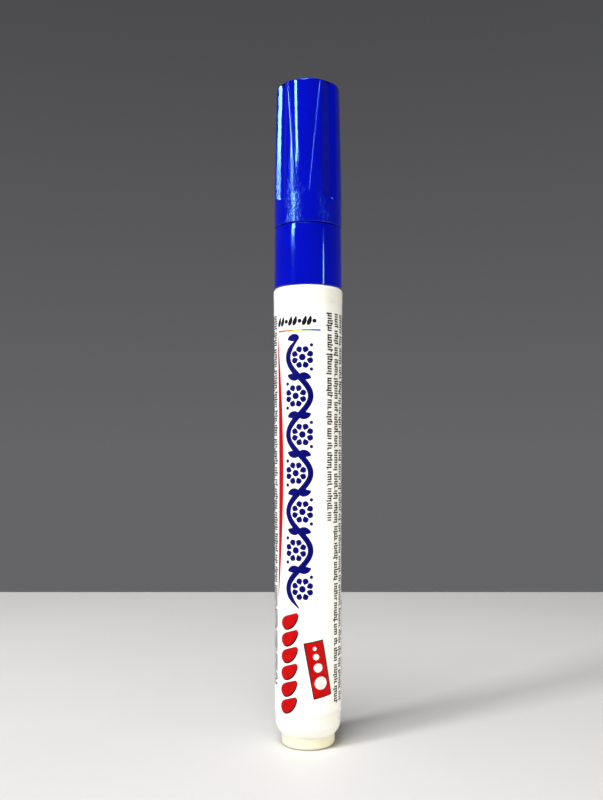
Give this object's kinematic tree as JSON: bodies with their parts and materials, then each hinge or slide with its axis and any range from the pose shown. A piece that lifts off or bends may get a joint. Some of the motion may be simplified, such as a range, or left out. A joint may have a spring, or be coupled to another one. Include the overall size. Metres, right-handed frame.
{
  "type": "paint marker pen",
  "caption": "Upright valve-action paint marker with a white barrel, a blue collar, a fluted press-on cap, a spring-loaded nib and a loose mixing ball.",
  "frame": {"origin": "centre of the flat base under the tail plug", "axes": "+Z along the pen from the tail to the cap; -Y is the printed front; +X to the right seen from the front"},
  "size_m": [0.0148, 0.0148, 0.14],
  "materials": {
    "white_plastic": "smooth moulded plastic, slightly warm white",
    "label_film": "smooth printed film, white with navy, red and black print",
    "steel": "bright steel",
    "blue_plastic": "glossy ultramarine moulded plastic with fine scratches",
    "nib_fibre": "bonded fibre soaked with blue paint",
    "natural_plastic": "natural unpigmented moulded plastic",
    "seal_rubber": "matt soft rubber"
  },
  "bodies": {
    "pen_body": {"barrel": "white_plastic", "printed_label": "label_film", "tail_plug": "white_plastic", "front_section": "blue_plastic", "valve_housing": "natural_plastic", "valve_seal": "seal_rubber", "valve_spring": "steel"},
    "cap": {"cap_shell": "blue_plastic", "inner_cap": "natural_plastic"},
    "nib": {"nib": "nib_fibre"},
    "valve_plunger": {"valve_plunger": "natural_plastic"},
    "mixing_ball": {"mixing_ball": "steel"}
  },
  "joints": [
    {"name": "cap_pull", "type": "slide", "parent": "pen_body", "child": "cap", "axis": [0, 0, 1], "range_m": [0, 0.045]},
    {"name": "nib_press", "type": "slide", "parent": "pen_body", "child": "nib", "axis": [0, 0, 1], "range_m": [-0.0016, 0], "stiffness_N_per_m": 800, "deforming": ["valve_spring"]},
    {"name": "plunger_press", "type": "slide", "parent": "pen_body", "child": "valve_plunger", "axis": [0, 0, 1], "range_m": [-0.0016, 0]},
    {"name": "ball_travel", "type": "slide", "parent": "pen_body", "child": "mixing_ball", "axis": [0, 0, 1], "range_m": [0, 0.0725]}
  ],
  "couplings": [
    {"joint": "plunger_press", "follows": "nib_press", "ratio": 1}
  ]
}
